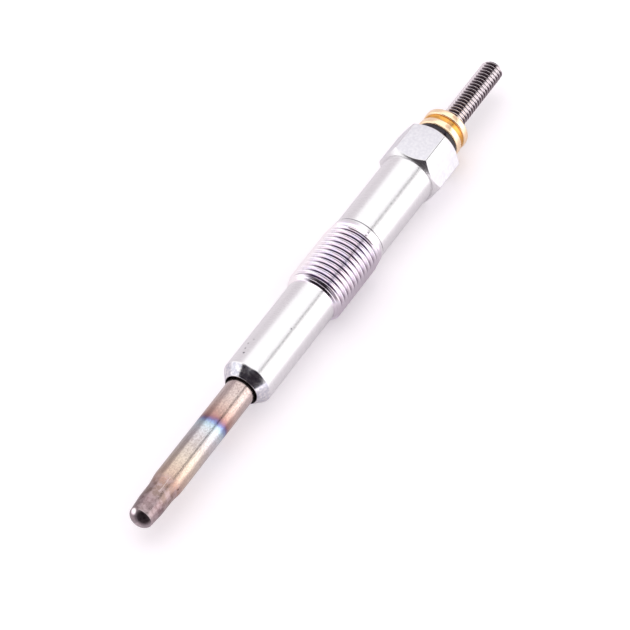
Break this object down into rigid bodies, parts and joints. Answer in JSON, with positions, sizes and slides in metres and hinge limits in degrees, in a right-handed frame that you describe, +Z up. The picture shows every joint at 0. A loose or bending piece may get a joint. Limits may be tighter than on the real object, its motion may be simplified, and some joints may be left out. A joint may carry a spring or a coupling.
{
  "type": "diesel glow plug",
  "caption": "Sheathed-element diesel glow plug with a tapered heater tip, sealing cone, threaded shell, hexagon, insulator, round nut and threaded terminal stud.",
  "frame": {"origin": "centre of the bounding box in plan, on the surface that the plug lies on", "axes": "+X along the plug from the heater's tip to the terminal, +Z up, away from the flat of the hexagon that the plug lies on"},
  "size_m": [0.1102, 0.0114, 0.01],
  "materials": {
    "plated_steel": "satin zinc plating, pale silver",
    "heater_alloy": "drawn nickel alloy with heat tint",
    "coil_wire": "bare resistance wire",
    "insulating_powder": "packed matt white powder",
    "rubber": "matt black rubber",
    "terminal_steel": "dark bare steel",
    "insulator_plastic": "smooth glossy black",
    "brass": "bright turned brass"
  },
  "bodies": {
    "root": {"shell": "plated_steel", "heater_sheath": "heater_alloy", "heating_coil": "coil_wire", "control_coil": "coil_wire", "insulating_powder": "insulating_powder", "sheath_seal": "rubber", "centre_rod": "terminal_steel", "o_ring": "rubber", "insulator": "insulator_plastic", "round_nut": "brass"}
  },
  "joints": []
}
